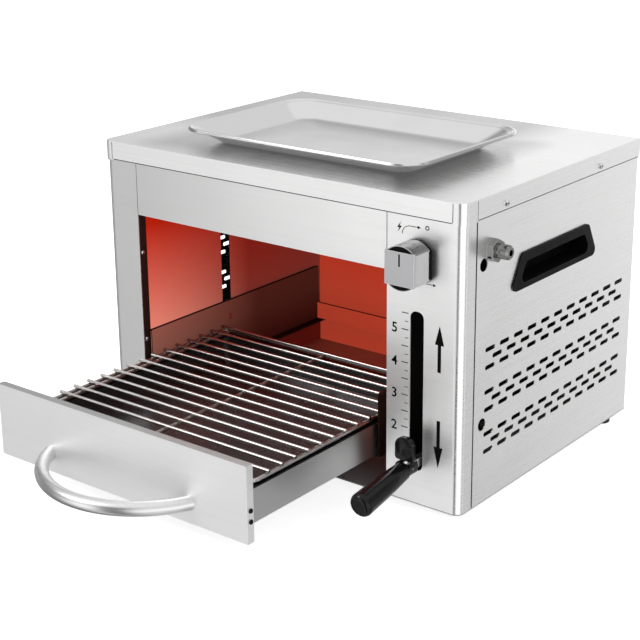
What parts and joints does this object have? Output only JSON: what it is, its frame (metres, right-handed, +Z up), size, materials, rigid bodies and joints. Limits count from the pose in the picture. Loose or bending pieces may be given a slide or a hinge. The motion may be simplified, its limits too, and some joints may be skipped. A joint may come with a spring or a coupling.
{
  "type": "gas infrared steak grill",
  "caption": "Table-top infrared gas grill: steel housing with ceiling burner, lever-raised pull-out drawer with drip pan and grate, valve knob, serving tray.",
  "frame": {"origin": "under the middle of the whole part as pictured, drawer pulled out, on the surface it stands on", "axes": "+X to the right seen from the front, +Y from the front to the back, +Z up"},
  "size_m": [0.531, 0.652, 0.372],
  "materials": {
    "brushed_panel": "pale brushed stainless sheet, grain along the length of each panel",
    "liner_steel": "plain stainless sheet, lightly heat tinted",
    "bracket_steel": "plain cold-rolled sheet, satin",
    "base_paint": "dark grey satin paint",
    "foot_rubber": "black moulded rubber",
    "fastener_steel": "bright plated steel",
    "black_gloss": "black moulded plastic, glossy",
    "grip_plastic": "black moulded plastic, satin",
    "knob_metal": "satin silver",
    "drawer_steel": "pale brushed stainless sheet",
    "handle_steel": "satin polished stainless tube",
    "grate_chrome": "bright plated wire",
    "pan_steel": "reflective drawn stainless pan",
    "tray_steel": "polished stainless tray",
    "burner_ceramic": "perforated ceramic, matt",
    "probe_ceramic": "white glazed ceramic sleeve",
    "valve_metal": "die-cast, matt",
    "fitting_metal": "nickel-plated brass",
    "jet_brass": "turned brass",
    "pipe_copper": "drawn copper pipe"
  },
  "bodies": {
    "housing": {"base_plate": "base_paint", "feet": "foot_rubber", "foot_screws": "fastener_steel", "left_side_panel": "brushed_panel", "right_side_panel": "brushed_panel", "rear_panel": "brushed_panel", "top_cover": "brushed_panel", "cover_corner_strips": "brushed_panel", "cover_screws": "fastener_steel", "left_front_column": "brushed_panel", "column_rivets": "fastener_steel", "front_fascia": "brushed_panel", "control_panel": "brushed_panel", "left_grip_cup": "grip_plastic", "right_grip_cup": "grip_plastic", "liner_left": "liner_steel", "liner_right": "liner_steel", "liner_rear": "liner_steel", "ceiling_plate": "liner_steel", "burner_housing": "liner_steel", "burner_tiles": "burner_ceramic", "tile_retainer": "liner_steel", "mixing_tube": "valve_metal", "gas_jet": "jet_brass", "gas_valve": "valve_metal", "valve_bracket": "bracket_steel", "gas_inlet_fitting": "fitting_metal", "inlet_lock_nut": "fitting_metal", "inlet_pipe": "pipe_copper", "burner_pipe": "pipe_copper", "igniter_electrode": "probe_ceramic", "thermocouple": "probe_ceramic", "notch_rack": "bracket_steel"},
    "lift_carriage": {"carriage_left_plate": "bracket_steel", "carriage_right_plate": "bracket_steel", "carriage_rear_member": "bracket_steel", "guide_rollers": "fastener_steel", "lift_arm": "bracket_steel", "lever_bar": "handle_steel", "lever_collar": "black_gloss", "lever_grip": "black_gloss", "paddle_pin": "fastener_steel"},
    "release_paddle": {"latch_tongue": "bracket_steel", "thumb_paddle": "black_gloss"},
    "drawer": {"drawer_front": "drawer_steel", "drawer_left_side": "drawer_steel", "drawer_right_side": "drawer_steel", "drawer_rear": "drawer_steel", "drawer_handle": "handle_steel", "handle_screws": "fastener_steel", "drawer_screws": "fastener_steel"},
    "drip_tray": {"drip_pan": "pan_steel"},
    "grate": {"grate_frame": "grate_chrome", "grate_rods": "grate_chrome"},
    "tray": {"serving_tray": "tray_steel"},
    "stem_push": {"stem_thrust_washer": "fastener_steel"},
    "knob": {"valve_stem": "valve_metal", "knob_body": "black_gloss", "knob_cap": "knob_metal"}
  },
  "joints": [
    {"name": "lift", "type": "slide", "parent": "housing", "child": "lift_carriage", "axis": [0, 0, 1], "range_m": [0, 0.158]},
    {"name": "paddle_press", "type": "hinge", "parent": "lift_carriage", "child": "release_paddle", "pos_m": [0.1875, -0.064, 0.0605], "axis": [-1, 0, 0], "range_deg": [0, 12], "stiffness_Nm_per_rad": 1.2},
    {"name": "drawer_slide", "type": "slide", "parent": "lift_carriage", "child": "drawer", "axis": [0, 1, 0], "range_m": [0, 0.193]},
    {"name": "pan_lift", "type": "slide", "parent": "drawer", "child": "drip_tray", "axis": [0, 0, 1], "range_m": [0, 0.006]},
    {"name": "grate_lift", "type": "slide", "parent": "drip_tray", "child": "grate", "axis": [0, 0, 1], "range_m": [0, 0.006]},
    {"name": "tray_lift", "type": "slide", "parent": "housing", "child": "tray", "axis": [0, 0, 1], "range_m": [0, 0.08]},
    {"name": "stem_press", "type": "slide", "parent": "housing", "child": "stem_push", "axis": [0, 1, 0], "range_m": [0, 0.0035], "stiffness_N_per_m": 2500},
    {"name": "knob_turn", "type": "hinge", "parent": "stem_push", "child": "knob", "pos_m": [0.189, -0.066, 0.284], "axis": [0, -1, 0], "range_deg": [-45, 225]}
  ]
}
